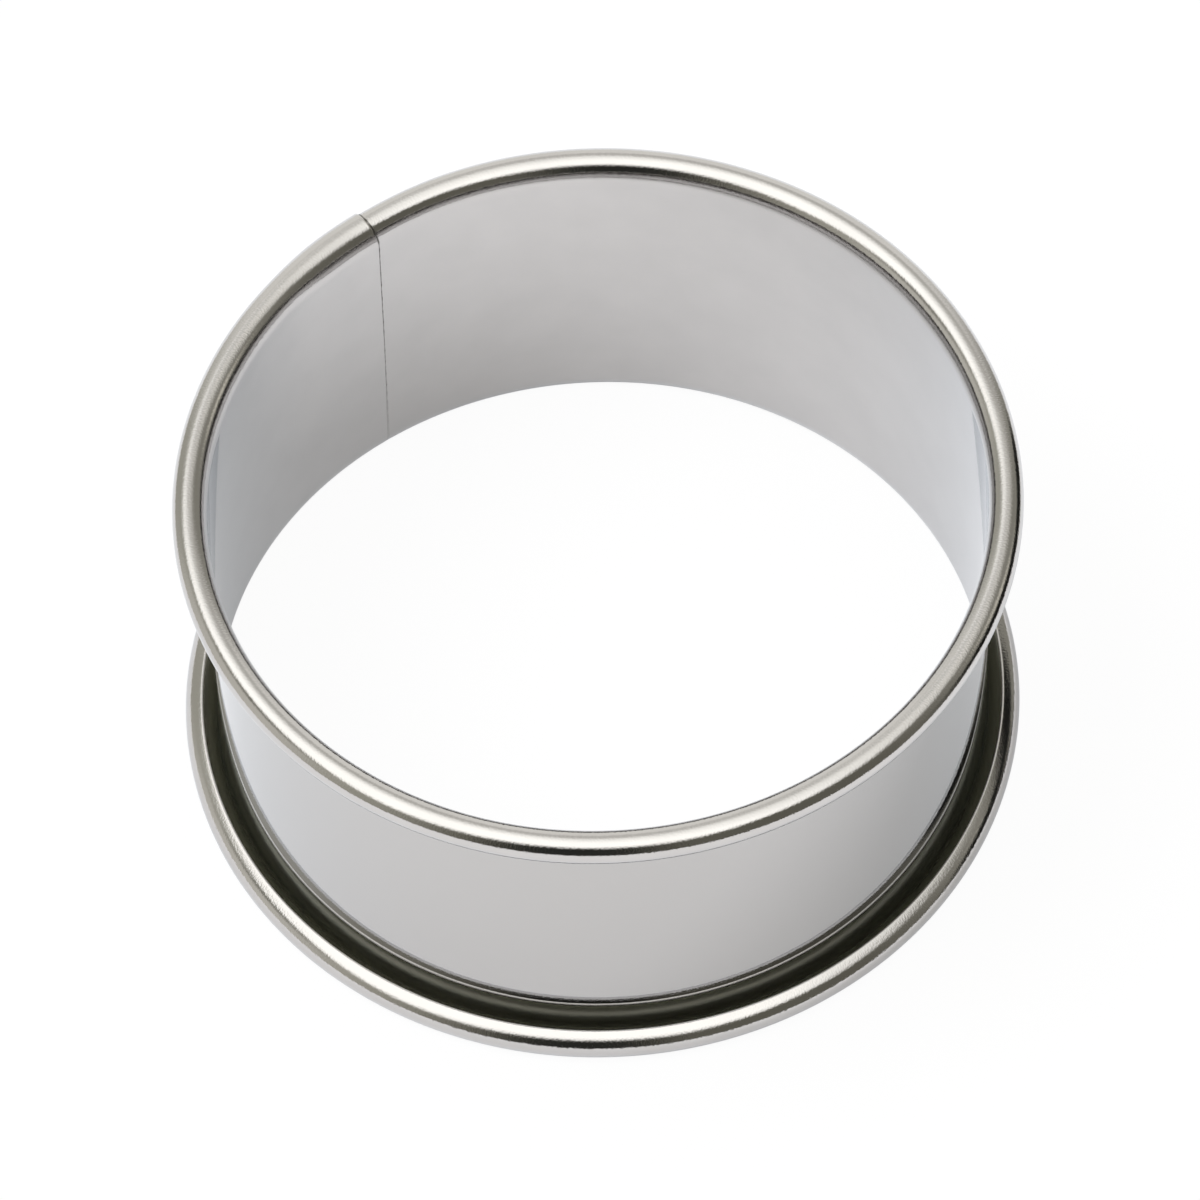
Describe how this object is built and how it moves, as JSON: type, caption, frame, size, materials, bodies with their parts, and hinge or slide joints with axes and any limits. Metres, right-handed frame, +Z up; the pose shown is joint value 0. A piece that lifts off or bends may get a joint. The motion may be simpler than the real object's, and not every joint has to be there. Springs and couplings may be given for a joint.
{
  "type": "cake ring",
  "caption": "Round open cake ring of tinned sheet with a lapped seam and both edges rolled outwards into hollow rims, for shaping cakes and set desserts.",
  "frame": {"origin": "centre of the ring on the surface that it stands on", "axes": "+Z up along the axis of the ring; -Y towards the viewer of the picture, with the seam at the back left"},
  "size_m": [0.1089, 0.1089, 0.051],
  "materials": {
    "tinned_sheet": "bright tinned sheet, close to a mirror with a very fine grain",
    "solder": "dull soft solder, hidden in the lap"
  },
  "bodies": {
    "root": {"ring_band": "tinned_sheet", "seam_solder": "solder"}
  },
  "joints": []
}
